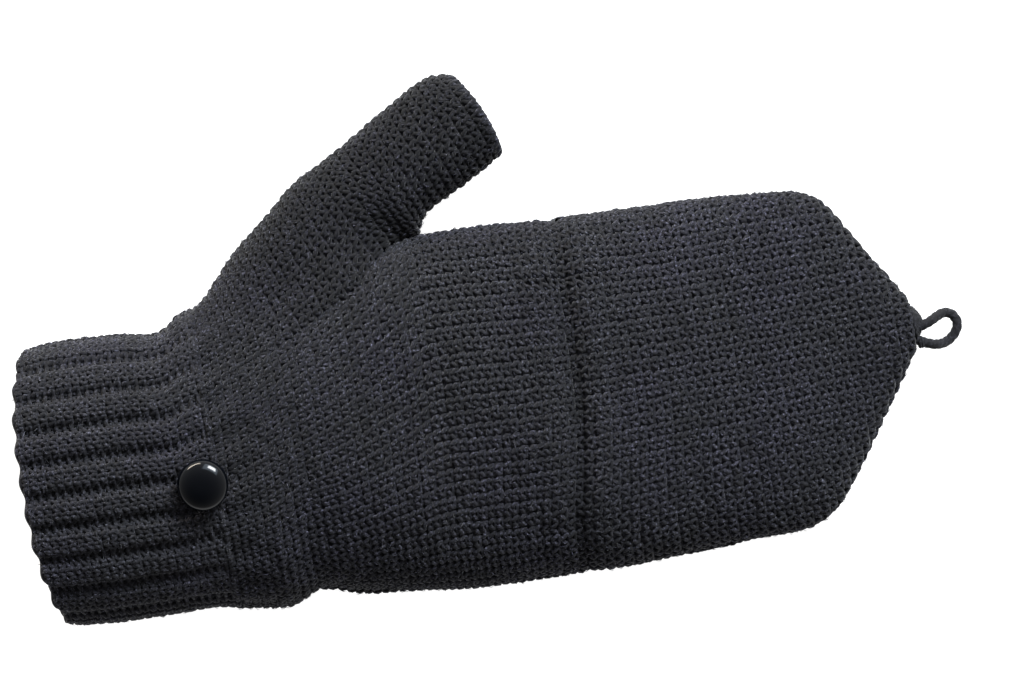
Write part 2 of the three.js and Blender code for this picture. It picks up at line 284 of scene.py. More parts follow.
def fibres(mesh, path, normal, radius, count):
    """Loose fibres lying over a yarn. Painted highlight: they are made lighter than the yarn itself, as
    fibres that catch the light.
    """
    at = rng.integers(1, len(path) - 1, count)
    along = path[at + 1] - path[at - 1]
    along /= np.maximum(np.linalg.norm(along, axis=1, keepdims=True), 1e-9)
    side = np.cross(along, normal[at])
    turn = rng.uniform(-1.1, 1.1, (count, 1))
    out = np.cos(turn) * normal[at] + np.sin(turn) * side
    way = along * rng.normal(0, 1, (count, 1)) + side * rng.normal(0, 0.8, (count, 1))
    way /= np.maximum(np.linalg.norm(way, axis=1, keepdims=True), 1e-9)
    length = rng.uniform(0.35, 0.85, (count, 1))
    start = path[at] + out * (radius - 0.03)
    line = np.stack([start, start + way * length + out * 0.10, start + way * length * 2 - out * 0.10], 1)
    flat = np.cross(way, out)
    ring = FIBRE_RADIUS * np.stack([out, -0.5 * out + 0.87 * flat, -0.5 * out - 0.87 * flat], 1)
    points = (line[:, :, None] + ring[:, None]).reshape(-1, 3)
    base = np.arange(count)[:, None, None] * 9
    faces = (base + ring_faces(3, 3)).reshape(-1, 4)
    # Painted highlight: each fibre is 1.5 to 3.4 times as light as the yarn.
    mesh.add(points, faces, 0, np.repeat(rng.uniform(1.5, 3.4, count), 9))


def knit(mesh, surface, rows, lo, hi, radius, relief, depth=0.62, purl=None, end_dip=0.3, shade=None):
    """Courses of stitches. lo and hi give the first and last wale of each course, relief raises the cloth,
    depth is a stitch's own height, purl turns it over, and shade darkens it."""
    for row in rows:
        first, last = float(lo(np.array(row))), float(hi(np.array(row)))
        if last - first < 0.6:
            continue
        t = np.linspace(first * TURN, last * TURN, max(int((last - first) * STITCH_STEPS), 6) + 1)
        stitches = int(last - first) + 3
        key = t / TURN - first
        cell = np.clip(key.astype(int), 0, stitches - 2)
        uneven = rng.normal(0, 1, (4, stitches))
        part = key - cell
        ease = part * part * (3 - 2 * part)
        jitter = uneven[:, cell] * (1 - ease) + uneven[:, cell + 1] * ease
        wale = (t + LEAN * np.sin(2 * t)) / TURN + 0.05 * jitter[0]
        course = row - REACH * np.cos(t) + 0.07 * jitter[1]
        face = 1.0 if purl is None else purl(t / TURN)
        height = -depth * (0.68 * np.cos(2 * t) + 0.32 * np.cos(t)) * face + 0.10 * jitter[2]
        ends = np.minimum(key, (last - first) - key)
        height = height - end_dip * (1 - smooth(ends, 0, 0.7))
        wale = np.clip(wale, lo(course), hi(course))
        p, n = surface.at(course, wale)
        height = height + relief(course, wale, p)
        tone = np.clip(1 + 0.14 * jitter[3] + rng.normal(0, 0.05), 0.45, 2)
        # The shade function paints shade over the yarn's random variation.
        if shade is not None:
            tone = tone * shade(course, p)
        path = p + n * height[:, None]
        tube(mesh, path, n, radius, tone=tone)
        fibres(mesh, path, n, radius, int(FIBRES * (last - first)))


def wander(p, seed, scale, amount):
    """Smooth unevenness of the cloth: a few long waves at odd angles."""
    local = np.random.default_rng(seed)
    total = np.zeros(p.shape[:-1])
    for _ in range(5):
        angle, phase = local.uniform(0, TURN, 2)
        length = scale * local.uniform(0.7, 1.6)
        total += np.sin((p[..., 0] * math.cos(angle) + p[..., 1] * math.sin(angle)) * TURN / length + phase)
    return amount * total / 5


# ---- Crease over the knuckles, where the cap starts. It runs a little aslant.

crease = profile((-70, -6.2), (-56, -5.0), (-28, 0.0), (-2, 1.2), (28, 1.6))

HAND_ROWS = 43
COURSE = (CREASE_X - CUFF_END) / HAND_ROWS
CROTCH_ROW = 28          # course where the thumb is free of the hand
CAP_ROWS = 40
HALF = 31                # wales over the back, and again over the palm
STRAIGHT_X = 60          # beyond here the cap's wales run straight on, and its sides slant across them
BACK_ROWS = HAND_ROWS + CAP_ROWS


def back_x(row):
    """x of a course over the back, before the crease is slanted."""
    row = np.asarray(row, float)
    beyond = (row - HAND_ROWS) / CAP_ROWS
    return np.where(row < HAND_ROWS, CUFF_END + COURSE * row, CREASE_X + (LAST_X - CREASE_X) * beyond)


def crease_share(row):
    """How far a course takes part in the crease's slant."""
    return np.where(row < HAND_ROWS, smooth(row, 12, HAND_ROWS), 1 - smooth(row, HAND_ROWS, HAND_ROWS + 26))


# Where the thumb's fabric parts from the hand's, on the back and on the palm.
divide_y = profile((-71.6, -4), (-50, 5), (-30, 15.5), (-14, 24.5), (-5.7, 28.4))


def run_lengths(p):
    """Length along a run of points, from its first."""
    return np.concatenate([[0], np.cumsum(np.linalg.norm(np.diff(p, axis=0), axis=1))])


def shares(row, x, p, length):
    """Length of a half course that the hand's wales are spread over, and where on it the thumb starts."""
    if row >= CROTCH_ROW:
        return length[-1], length[-1]
    side = np.interp(divide_y(x), p[:, 1], length)
    parting = side + (length[-1] - side) * smooth(row, CROTCH_ROW - 8, CROTCH_ROW)
    start = np.interp(divide_y(CUFF_END), p[:, 1], length)
    spread = start + (length[-1] - start) * row / CROTCH_ROW
    return max(spread, parting), parting


def back_surface():
    """Back of the hand and of the cap, from the cuff to the tip. Columns: wales from the middle line."""
    rows = np.arange(0, BACK_ROWS + 0.25, 0.5)
    wales = np.arange(-HALF / 2 - 2, HALF / 2 + 2.01, 0.25)
    dense = np.linspace(math.pi, 0, 700)
    grid, lows, highs = [], [], []
    for row in rows:
        flat = hand_oval(back_x(row), dense)
        x = back_x(row) + crease(flat[:, 1]) * crease_share(row)
        p = hand_oval(np.minimum(x, TIP_X), dense)
        length = run_lengths(p)
        spread, parting = shares(row, back_x(row), p, length)
        if back_x(row) < STRAIGHT_X:
            pitch, middle = spread / HALF, spread / 2
            middle_y = np.interp(middle, length, p[:, 1])
        else:
            middle = np.interp(middle_y, p[:, 1], length)
        lows.append(-middle / pitch)
        highs.append((parting - middle) / pitch)
        wanted = middle + wales * pitch
        grid.append(np.stack([np.interp(wanted, length, p[:, k]) for k in range(3)], -1))
    surface = Surface(np.array(grid), 0, 0.5, wales[0], 0.25)
    return surface, lambda row: np.interp(row, rows, lows), lambda row: np.interp(row, rows, highs)


back, back_lo, back_hi = back_surface()
palm_rows = np.arange(0, HAND_ROWS + 0.25, 0.5)


def palm_inset(x, angle):
    """How deep the palm's cloth runs in under the cap's free edge."""
    edge = flap_edge(angle)
    return smooth(x, edge - 9, edge - 3) * 3.5


def palm_surface():
    """Palm of the hand, wales from the thumb side at 0 to the little-finger side."""
    dense = np.linspace(math.pi, TURN, 700)
    grid, starts = [], []
    for row in palm_rows:
        x = CUFF_END + COURSE * row
        p = hand_oval(x, dense, palm_inset(x, dense))
        length = run_lengths(p)
        spread, parting = shares(row, x, p, length)
        wanted = np.linspace(0, spread, HALF * 4 + 1)
        grid.append(np.stack([np.interp(wanted, length, p[:, k]) for k in range(3)], -1))
        starts.append(HALF * (1 - parting / spread))
    surface = Surface(np.array(grid)[:, ::-1], 0, 0.5, 0, 0.25)
    return surface, lambda row: np.interp(row, palm_rows, starts)


palm, palm_start = palm_surface()

# ---- Thumb: courses leave the hand at the dividing line, swing round the thumb side and come back under it.

THUMB_WALES = 28
THUMB_ROWS = CROTCH_ROW + 13
outer_x = profile((0, -71.6), (3, -67.4), (7.5, -60.3), (16, -45), (20, -38), (CROTCH_ROW, -20), (33, -8.6),
                  (37, 0.2), (39.5, 5.6), (THUMB_ROWS, 10.2))
outer_y = profile((0, 19.0), (3, 21.6), (7.5, 29.6), (16, 42.4), (20, 48.4), (CROTCH_ROW, 58.1), (33, 65.0),
                  (37, 70.3), (39.5, 71.5), (THUMB_ROWS, 70.2))
inner_x = profile((CROTCH_ROW, -5.9), (30, -4.0), (32.5, 2.0), (36, 10.2), (39.5, 17.9), (THUMB_ROWS, 20.0))
inner_y = profile((CROTCH_ROW, 28.8), (30, 33.6), (32.5, 37.0), (36, 41.0), (39.5, 45.2), (THUMB_ROWS, 47.4))
thumb_top = profile((0, 40), (8, 35), (18, 32.5), (CROTCH_ROW, 29.5), (THUMB_ROWS, 26.5))
thumb_bottom = profile((0, 0), (8, 1), (18, 2.2), (CROTCH_ROW, 2.4), (THUMB_ROWS, 3))


def thumb_surface():
    """Wales from the hand's back, over the thumb and round to its palm side."""
    rows = np.arange(0, THUMB_ROWS + 0.25, 0.5)
    quarter = np.linspace(0, math.pi / 2, 80)
    columns = THUMB_WALES * 4 + 1
    grid = []
    for row in rows:
        outer = np.array([outer_x(row), outer_y(row), 0])
        top, bottom = float(thumb_top(row)), float(thumb_bottom(row))
        middle = (top + bottom) / 2
        if row < CROTCH_ROW:
            start, _ = back.at(np.array(row), back_hi(np.array(row)) - 0.15)
            finish, _ = palm.at(np.array(row), palm_start(np.array(row)) + 0.15)
        else:
            start = np.array([inner_x(row), inner_y(row), middle])
            finish = start.copy()
        outer[2] = middle + (18.3 - middle) * (1 - smooth(row, 0, 12))
        round_off = 2 / BACK_SQUARE

        def arc(near, crown_z):
            """From a point near the hand over a crown to the outer side."""
            crown = (near + outer) / 2
            crown[2] = crown_z
            steep = smooth(row, 21, CROTCH_ROW + 2)
            run = np.cos(quarter) ** round_off
            first = crown + (near - crown) * run[:, None]
            easy = near[2] + (crown_z - near[2]) * smooth(1 - run, 0, 1)
            round_rise = near[2] + (crown_z - near[2]) * np.sin(quarter) ** round_off
            first[:, 2] = (1 - steep) * easy + steep * round_rise
            second = crown + (outer - crown) * (np.cos(quarter[::-1]) ** round_off)[:, None]
            second[:, 2] = outer[2] + (crown_z - outer[2]) * np.sin(quarter[::-1]) ** round_off
            return np.concatenate([first, second[1:]])
        over = arc(start, top)
        under = arc(finish, bottom)[::-1]
        own = even(np.concatenate([over, under[1:]]), columns)
        if row < 20:
            x = float(CUFF_END + COURSE * row)
            turn = np.linspace(-math.pi, 0, 400)
            a_back = -np.interp(start[1], hand_oval(x, -turn)[:, 1], turn)
            a_palm = np.interp(finish[1], hand_oval(x, turn)[:, 1], turn)
            around = hand_oval(x, np.linspace(a_back, a_palm, 600))
            side = np.argmax(around[:, 1])
            share = np.concatenate([np.linspace(0, 0.5, side + 1), np.linspace(0.5, 1, 600 - side)[1:]])
            lift = np.sin(math.pi * share) ** 2
            around = around + lift[:, None] * (outer - around[side])
            around = even(around, columns)
            g = smooth(row, 2, 17)
            own = even((1 - g) * around + g * own, columns)
        if row > 34:
            place = np.clip((own - start) @ (outer - start) / ((outer - start) @ (outer - start)), 0, 1)
            bow = 1.6 * smooth(row, 34, THUMB_ROWS) * (4 * place * (1 - place)) ** 0.7
            own = own + bow[:, None] * [0.857, 0.515, 0]
        grid.append(own)
    grid = np.array(grid)
    ends = grid[:, [0, -1]].copy()
    for _ in range(10):
        grid[1:-1] = (grid[:-2] + 2 * grid[1:-1] + grid[2:]) / 4
    fade = np.clip(1 - np.arange(columns) / 14, 0, 1) ** 2
    grid += fade[None, :, None] * (ends[:, :1] - grid[:, :1])
    grid += fade[None, ::-1, None] * (ends[:, 1:] - grid[:, -1:])
    return Surface(grid, 0, 0.5, 0, 0.25)


thumb = thumb_surface()

# ---- Cuff: two-by-two rib, 20 ribs round, with a mouth that bows over the wrist.

CUFF_ROWS = 22
CUFF_HALF = 40


def cuff_surface(angles):
    """One half of the cuff, between two angles of its section."""
    rows = np.arange(0, CUFF_ROWS + 0.25, 0.5)
    dense = np.linspace(angles[0], angles[1], 500)
    grid = []
    for row in rows:
        x = CUFF_START + (CUFF_END - CUFF_START) * row / CUFF_ROWS
        p = hand_oval(x, dense)
        p[:, 0] -= 5.2 * np.abs(np.sin(dense)) ** 1.5 * (1 - row / CUFF_ROWS)
        step = np.diff(p, axis=0)
        weight = 0.45 * np.linalg.norm(step, axis=1) + 0.55 * np.abs(step[:, 1])
        length = np.concatenate([[0], np.cumsum(weight)])
        wanted = np.linspace(0, length[-1], CUFF_HALF * 4 + 1)
        grid.append(np.stack([np.interp(wanted, length, p[:, k]) for k in range(3)], -1))
    return Surface(np.array(grid), 0, 0.5, 0, 0.25)


cuff_back = cuff_surface((math.pi, 0))
cuff_palm = cuff_surface((TURN, math.pi))

# ---------------------------------------------------------------- materials

FLECK_SCALE, TINT_SCALE = 1600.0, 38.0


def nodes_of(name):
    """A new material with its node tree and shader."""
    m = bpy.data.materials.new(name)
    m.use_nodes = True
    tree = m.node_tree
    shader = next(n for n in tree.nodes if n.type == "BSDF_PRINCIPLED")
    return m, tree, shader


def yarn_material(name, dark, middle, light):
    """Soft matt yarn: fibre-sized flecks and slow changes of tint over a charcoal ground. The lightest
    flecks are partly painted highlights of fibres that catch the light.
    """
    m, tree, shader = nodes_of(name)
    new, link = tree.nodes.new, tree.links.new
    place = new("ShaderNodeTexCoord")
    fleck = new("ShaderNodeTexNoise")
    fleck.inputs["Scale"].default_value = FLECK_SCALE
    fleck.inputs["Detail"].default_value = 3.0
    fleck.inputs["Roughness"].default_value = 0.7
    slow = new("ShaderNodeTexNoise")
    slow.inputs["Scale"].default_value = TINT_SCALE
    slow.inputs["Detail"].default_value = 2.0
    ramp = new("ShaderNodeValToRGB")
    ramp.color_ramp.elements[0].position = 0.36
    ramp.color_ramp.elements[0].color = (*dark, 1)
    # Lightest flecks: partly painted highlights of fibres.
    ramp.color_ramp.elements[1].position = 0.72
    ramp.color_ramp.elements[1].color = (*light, 1)
    half = ramp.color_ramp.elements.new(0.56)
    half.color = (*middle, 1)
    tint = new("ShaderNodeValToRGB")
    tint.color_ramp.elements[0].position = 0.38
    tint.color_ramp.elements[0].color = (0.95, 0.96, 0.93, 1)
    tint.color_ramp.elements[1].position = 0.62
    tint.color_ramp.elements[1].color = (1.05, 1.02, 1.13, 1)
    mix = new("ShaderNodeMix")
    mix.data_type, mix.blend_type = "RGBA", "MULTIPLY"
    mix.inputs["Factor"].default_value = 1.0
    link(place.outputs["Object"], fleck.inputs["Vector"])
    link(place.outputs["Object"], slow.inputs["Vector"])
    link(fleck.outputs["Fac"], ramp.inputs["Fac"])
    link(slow.outputs["Fac"], tint.inputs["Fac"])
    link(ramp.outputs["Color"], mix.inputs["A"])
    link(tint.outputs["Color"], mix.inputs["B"])
    tone = new("ShaderNodeAttribute")
    tone.attribute_name = "tone"
    toned = new("ShaderNodeVectorMath")
    toned.operation = "MULTIPLY"
    link(mix.outputs["Result"], toned.inputs[0])
    link(tone.outputs["Fac"], toned.inputs[1])
    link(toned.outputs["Vector"], shader.inputs["Base Color"])
    shader.inputs["Roughness"].default_value = 0.9
    shader.inputs["Specular IOR Level"].default_value = 0.2
    shader.inputs["Sheen Weight"].default_value = 0.08
    shader.inputs["Sheen Roughness"].default_value = 0.4
    return m


def plain_material(name, colour, roughness, specular, glow=0.0):
    """One colour all over. glow is the strength of its own white light."""
    m, _, shader = nodes_of(name)
    shader.inputs["Base Color"].default_value = (*colour, 1)
    shader.inputs["Roughness"].default_value = roughness
    shader.inputs["Specular IOR Level"].default_value = specular
    shader.inputs["Emission Color"].default_value = (1, 1, 1, 1)
    shader.inputs["Emission Strength"].default_value = glow
    return m


wool = yarn_material("wool", (0.0030, 0.0030, 0.0040), (0.0067, 0.0067, 0.0092), (0.070, 0.071, 0.095))
# Painted light: a copy of the same wool for the cuff, lighter in its dark and middle flecks and a little
# darker in its lightest.
wool_rib_lightened = yarn_material("wool_rib_lightened", (0.0034, 0.0034, 0.0044), (0.0076, 0.0076, 0.0102),
                         (0.066, 0.067, 0.087))
# Painted shade: the inner layer's plain colour sets how dark the gaps between the yarns look.
inner_layer_gap_shade = plain_material("wool_inner_gap_shade", (0.060, 0.060, 0.076), 1.0, 0.0)
cord_wool = yarn_material("cord_wool", (0.0018, 0.0018, 0.0023), (0.0058, 0.0058, 0.0075),
                          (0.026, 0.026, 0.033))
gloss = plain_material("button_gloss", (0.0004, 0.0007, 0.0014), 0.11, 0.18)
WOOL = [wool, inner_layer_gap_shade]
RIB = [wool_rib_lightened, inner_layer_gap_shade]

# ---------------------------------------------------------------- cords first: the loop at the tip

LOOP_RADIUS = 1.35
loop_route = np.array([
    (124.1, -19.5, 6.4), (126.4, -19.0, 6.3), (128.6, -18.2, 5.8), (130.9, -17.1, 3.9), (132.8, -16.6, 2.4),
    (134.8, -17.4, 1.6), (135.9, -19.6, 1.5), (135.3, -21.9, 1.5), (133.6, -23.7, 1.7), (131.5, -24.7, 2.9),
    (129.0, -24.8, 5.2), (126.3, -23.9, 6.2), (123.9, -22.6, 6.4)], float)


def curve_through(route, count):
    """A smooth run of evenly spaced points through a few given ones."""
    t = np.arange(len(route), dtype=float)
    curves = [profile(*np.stack([t, route[:, k]], -1)) for k in range(3)]
    u = np.linspace(0, len(route) - 1, count * 6)
    return even(np.stack([c(u) for c in curves], -1), count)


def twisted_cord(name, path, radius, plies, pitch, sides, material):
    """A cord of a few plies laid together: a lobed section that turns along the length."""
    angles = np.arange(sides) * TURN / sides
    phase = plies * (angles[None] - run_lengths(path)[:, None] * TURN / pitch)
    lobed = radius * (0.90 + 0.132 * np.abs(np.cos(phase / 2)))
    mesh = Mesh()
    mesh.add(sweep(path, (0, 0, 1.0), lobed, sides), ring_faces(len(path), sides))
    return mesh.build(name, [material])


loop_path = curve_through(loop_route, 160)
loop = twisted_cord("loop_cord", loop_path, LOOP_RADIUS, plies=3, pitch=6.0, sides=24, material=cord_wool)
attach(loop, "loop")
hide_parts("tip_loop")

# ---------------------------------------------------------------- the knitted pieces

BACK_SHARE = 0.72        # share of the cuff's half round that runs on into the hand, and not into the thumb


def rib_phase(wale):
    """1 on the middle of a rib and -1 in the furrow beside it. A rib takes four wales."""
    return np.cos((wale - 1.0) * TURN / 4)


def rib_end(row, share):
    """Ribs of the cuff dying out in the first courses of the hand. share is the place round its half."""
    fade = 1 - smooth(row, -1, 9)
    return 0.5 * rib_phase(share * CUFF_HALF) * fade


def cloth(row, wale, p):
    """Slow unevenness of the hand and cap, the crease, and the puckers beside the cuff."""
    height = wander(p, 3, 34.0, 0.7) * smooth(row, 0, 9)
    x, y = p[..., 0], p[..., 1]
    gather = smooth(-y, 26, 44) * smooth(x, -78, -55) * (1 - smooth(x, 12, 27))
    furrow = 0.5 + 0.5 * np.cos(wale * TURN)
    height = height - (0.2 * smooth(x, -70, -40) + 0.3 * gather) * furrow
    from_crease = row - HAND_ROWS
    across = np.abs(wale / (HALF / 2) + 0.05)
    tuck = (1 - 0.65 * smooth(across, 0.6, 0.95)) * (1 - 0.25 * smooth(-wale, 2, 9))
    height = height - tuck * 2.5 * np.exp(-(from_crease / 1.25) ** 2)
    height = height + tuck * 0.7 * np.exp(-((from_crease - 2.8) / 1.6) ** 2)
    height = height + tuck * 0.3 * np.exp(-((from_crease + 2.8) / 1.8) ** 2)
    height = height + rib_end(row, (wale - back_lo(row)) / HALF * BACK_SHARE)
    return height


def cloth_shade(row, p):
    """Painted shade: darker in the crease and along the slanting edges of the cap's tip, and a little darker
    beside the cuff and over the hand.
    """
    x, y = p[..., 0], p[..., 1]
    low, high = little_side(x), thumb_side(x)
    edge = np.minimum(y - low, high - y)
    # Painted shade along the tip's slanting edges and in the crease.
    tip_edge_shade = (1 - smooth(edge, 0, 9)) * smooth(x, 82, 96)
    beside_cuff = 1 - smooth(row, 3, 18)
    crease_shade = np.exp(-((row - HAND_ROWS) / 1.5) ** 2)
    hand = 1 - smooth(row, 36, 46)
    return (1 - 0.35 * crease_shade) * (1 - 0.35 * tip_edge_shade) * (1 - 0.18 * beside_cuff) * (1 - 0.08 * hand)


def hand_cloth(row, wale, p):
    """Unevenness of the palm."""
    return wander(p, 5, 30.0, 0.4) * smooth(row, 0, 9) + rib_end(row, (HALF - wale) / HALF * BACK_SHARE)


def sink(function):
    """The same relief, for the yarn's middle line."""
    return lambda row, wale, p: function(row, wale, p) - INNER


FOLD_FIRST, FOLD_LAST = 38, 48       # courses that bend when the cap is turned over
CORE_DEPTH = 0.75                    # depth of the inner layer below the yarn's middle line
FOLD_CORE_DEPTH = 0.95
fold_rows = range(FOLD_FIRST, FOLD_LAST + 1)
hand_back_rows = range(FOLD_FIRST)
cap_back_rows = range(FOLD_LAST + 1, BACK_ROWS)


def overlap(row):
    """The inner layer runs on a little behind the thumb's where the two part."""
    return 1.1 * (smooth(row, 12, 18) - smooth(row, 27.6, 28.2))


# The cap is sewn on across the flat of the back, and its edge is free down both sides of the fingers.
sewn = np.linspace(-HALF / 2, HALF / 2, 400)
sewn = sewn[back.at(np.full(sewn.shape, float(HAND_ROWS)), sewn)[0][:, 2] > 32]
sewn_lo, sewn_hi = always(sewn[0]), always(sewn[-1])


def free_sides(mesh, first, last):
    """The courses beside the two ends of the seam, from the first to the last of them."""
    for lo, hi in ((back_lo, sewn_lo), (sewn_hi, back_hi)):
        knit(mesh, back, [r for r in fold_rows if first <= r < last], lo, hi, YARN, relief=sink(cloth),
             shade=cloth_shade)
        backing(mesh, back, (first, last), lo, hi, FOLD_CORE_DEPTH, relief=sink(cloth), columns=24)


hand_back = Mesh()
knit(hand_back, back, hand_back_rows, back_lo, back_hi, YARN, relief=sink(cloth),
     shade=cloth_shade)
backing(hand_back, back, (0, FOLD_FIRST + 0.2), back_lo, lambda row: back_hi(row) + overlap(row), CORE_DEPTH,
        relief=sink(cloth))
free_sides(hand_back, FOLD_FIRST, HAND_ROWS)
hand_back = hand_back.build("hand_back_knit", WOOL)
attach(hand_back, "hand")
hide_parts("hand_body")

hand_palm = Mesh()
knit(hand_palm, palm, range(HAND_ROWS + 1), palm_start, always(HALF), YARN, relief=sink(hand_cloth))
backing(hand_palm, palm, (0, HAND_ROWS), lambda row: np.maximum(palm_start(row) - overlap(row), 0),
        always(HALF), CORE_DEPTH, relief=sink(hand_cloth))
hand_palm = hand_palm.build("hand_palm_knit", WOOL)
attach(hand_palm, "hand")

fold = Mesh()
knit(fold, back, fold_rows, sewn_lo, sewn_hi, YARN, relief=sink(cloth),
     shade=cloth_shade)
backing(fold, back, (FOLD_FIRST - 0.2, FOLD_LAST + 0.6), sewn_lo, sewn_hi, FOLD_CORE_DEPTH,
        relief=sink(cloth))
fold = fold.build("seam_knit", WOOL)
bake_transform(fold)
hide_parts("cap_seam")


def flatten(obj):
    """Hangs the piece on the cap's body, which collapses toward the plane of its back as it is turned over,
    and gives it a mesh of its own.
    """
    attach(obj, "cap")
    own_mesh(obj)


cap_back = Mesh()
knit(cap_back, back, cap_back_rows, back_lo, back_hi, YARN, relief=sink(cloth),
     shade=cloth_shade)
backing(cap_back, back, (FOLD_LAST, BACK_ROWS), back_lo, back_hi, CORE_DEPTH, relief=sink(cloth))
free_sides(cap_back, HAND_ROWS, FOLD_LAST + 0.5)
cap_back = cap_back.build("cap_back_knit", WOOL)
flatten(cap_back)
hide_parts("cap_back")

# Palm half of the cap: rows follow the flap's free edge.
CAP_PALM_ROWS = 46


def cap_palm_surface():
    """Palm half of the cap, from its free edge to the tip."""
    dense = np.linspace(TURN, math.pi, 500)
    rows = np.arange(0, CAP_PALM_ROWS + 0.25, 0.5)
    grid = []
    for row in rows:
        share = row / CAP_PALM_ROWS
        x = flap_edge(dense) + (LAST_X - flap_edge(dense)) * share
        grid.append(even(hand_oval(x, dense), HALF * 4 + 1))
    return Surface(np.array(grid), 0, 0.5, 0, 0.25)


cap_palm_cloth = cap_palm_surface()


def palm_cloth(row, wale, p):
    """Unevenness of the cap's palm half."""
    return wander(p, 8, 34, 0.35)


cap_palm = Mesh()
knit(cap_palm, cap_palm_cloth, range(4, CAP_PALM_ROWS), always(0), always(HALF), YARN,
     relief=sink(palm_cloth))
backing(cap_palm, cap_palm_cloth, (3, CAP_PALM_ROWS), always(0), always(HALF), CORE_DEPTH,
        relief=sink(palm_cloth))
cap_palm = cap_palm.build("cap_palm_knit", WOOL)
flatten(cap_palm)
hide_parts("cap_palm")

welt = Mesh()
knit(welt, cap_palm_cloth, [0.4, 1.4, 2.4, 3.3], always(0), always(HALF), YARN * 1.05,
     relief=sink(lambda row, wale, p: 0.2 + 0 * row))
backing(welt, cap_palm_cloth, (0.1, 3.2), always(0), always(HALF), INNER + CORE_DEPTH)
edge_wales = np.linspace(0, HALF, HALF * 8)
edge_path, edge_normal = cap_palm_cloth.at(np.full(edge_wales.shape, 0.0), edge_wales)
tube(welt, edge_path - edge_normal * (INNER + 0.2), edge_normal, 1.05)
welt = welt.build("cap_welt_knit", WOOL)
flatten(welt)
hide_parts("cap_welt")

# Thumb, from the gusset to its bound-off mouth.
WEB_ROWS, WEB_COLUMNS = 12, 6


def thumb_cloth(row, wale, p):
    """Unevenness of the thumb, with the cuff's ribs dying out in its first courses."""
    inward = 2 * np.minimum(wale, THUMB_WALES - wale) / THUMB_WALES
    return wander(p, 11, 26, 0.4) + rib_end(row, BACK_SHARE + (1 - BACK_SHARE) * inward)


thumb_mesh = Mesh()
# Painted shade: the thumb's yarn is darkened, more toward its mouth.
knit(thumb_mesh, thumb, range(THUMB_ROWS), always(0), always(THUMB_WALES), YARN,
     relief=sink(thumb_cloth), shade=lambda row, p: 0.76 - 0.36 * smooth(row, 6, 24))
backing(thumb_mesh, thumb, (0, THUMB_ROWS - 0.5), always(0), always(THUMB_WALES), CORE_DEPTH,
        relief=sink(thumb_cloth))
# A web of the inner layer, in its painted-shade colour, closes the corner between the thumb and the hand.
web_x, web_y = np.meshgrid(np.linspace(-25, -8, WEB_ROWS), np.linspace(25, 32, WEB_COLUMNS), indexing="ij")
web = np.stack([web_x, web_y, np.full(web_x.shape, 16.0)], -1).reshape(-1, 3)
thumb_mesh.add(web, grid_faces(WEB_ROWS, WEB_COLUMNS), 1)
for k, dip in enumerate((0.5, 1.6)):
    wales = np.linspace(0, THUMB_WALES, THUMB_WALES * 12)
    p, n = thumb.at(THUMB_ROWS - 0.3 + 0.45 * np.sin(wales * TURN + k * math.pi), wales)
    tube(thumb_mesh, p - n * (dip - 0.3 * np.cos(wales * TURN + k * math.pi))[:, None], n, YARN * 1.05)
thumb_obj = thumb_mesh.build("thumb_knit", WOOL)
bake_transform(thumb_obj)
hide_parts("thumb_gusset", "thumb_tube", "thumb_edge")

# Cuff, with its cast-on edge.
def rib_relief(row, wale, p):
    """Broad ribs with narrow furrows, which flatten toward the hand."""
    fade = 1 - smooth(row, CUFF_ROWS - 7, CUFF_ROWS + 1)
    wave = np.tanh(2.2 * (rib_phase(wale) + 0.62))
    return wave * (0.45 + 0.60 * fade) - 0.85 - 0.5 * fade + fade * wander(p, 21, 30, 0.35)


for name, surface in (("cuff_back_knit", cuff_back), ("cuff_palm_knit", cuff_palm)):
    rib = Mesh()
    knit(rib, surface, range(0, CUFF_ROWS + 1), always(0), always(CUFF_HALF), YARN,
         depth=0.5, relief=rib_relief, purl=lambda w: np.clip(4 * (rib_phase(w) + 0.5), -1, 1), end_dip=0.0)
    backing(rib, surface, (0, CUFF_ROWS), always(0), always(CUFF_HALF), 0.8, columns=400, relief=rib_relief)
    wales = np.linspace(0, CUFF_HALF, CUFF_HALF * 8)
    p, n = surface.at(np.zeros(wales.shape), wales)
    p[:, 0] -= 0.3 + 0.4 * rib_phase(wales)
    tube(rib, p + n * (0.8 * rib_phase(wales) - 1.55)[:, None], n, 0.8)
    obj = rib.build(name, RIB)
    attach(obj, "hand")
    if name == "cuff_back_knit":
        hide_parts("cuff_rib", "cuff_edge")

# Finger stubs.
STUB_BASE, STUB_RISE = 29.5, 4.4
STUB_WALES, STUB_COURSE = 16, 2.4
STUB_TAPER = 0.17        # fall of a stub's top over its length
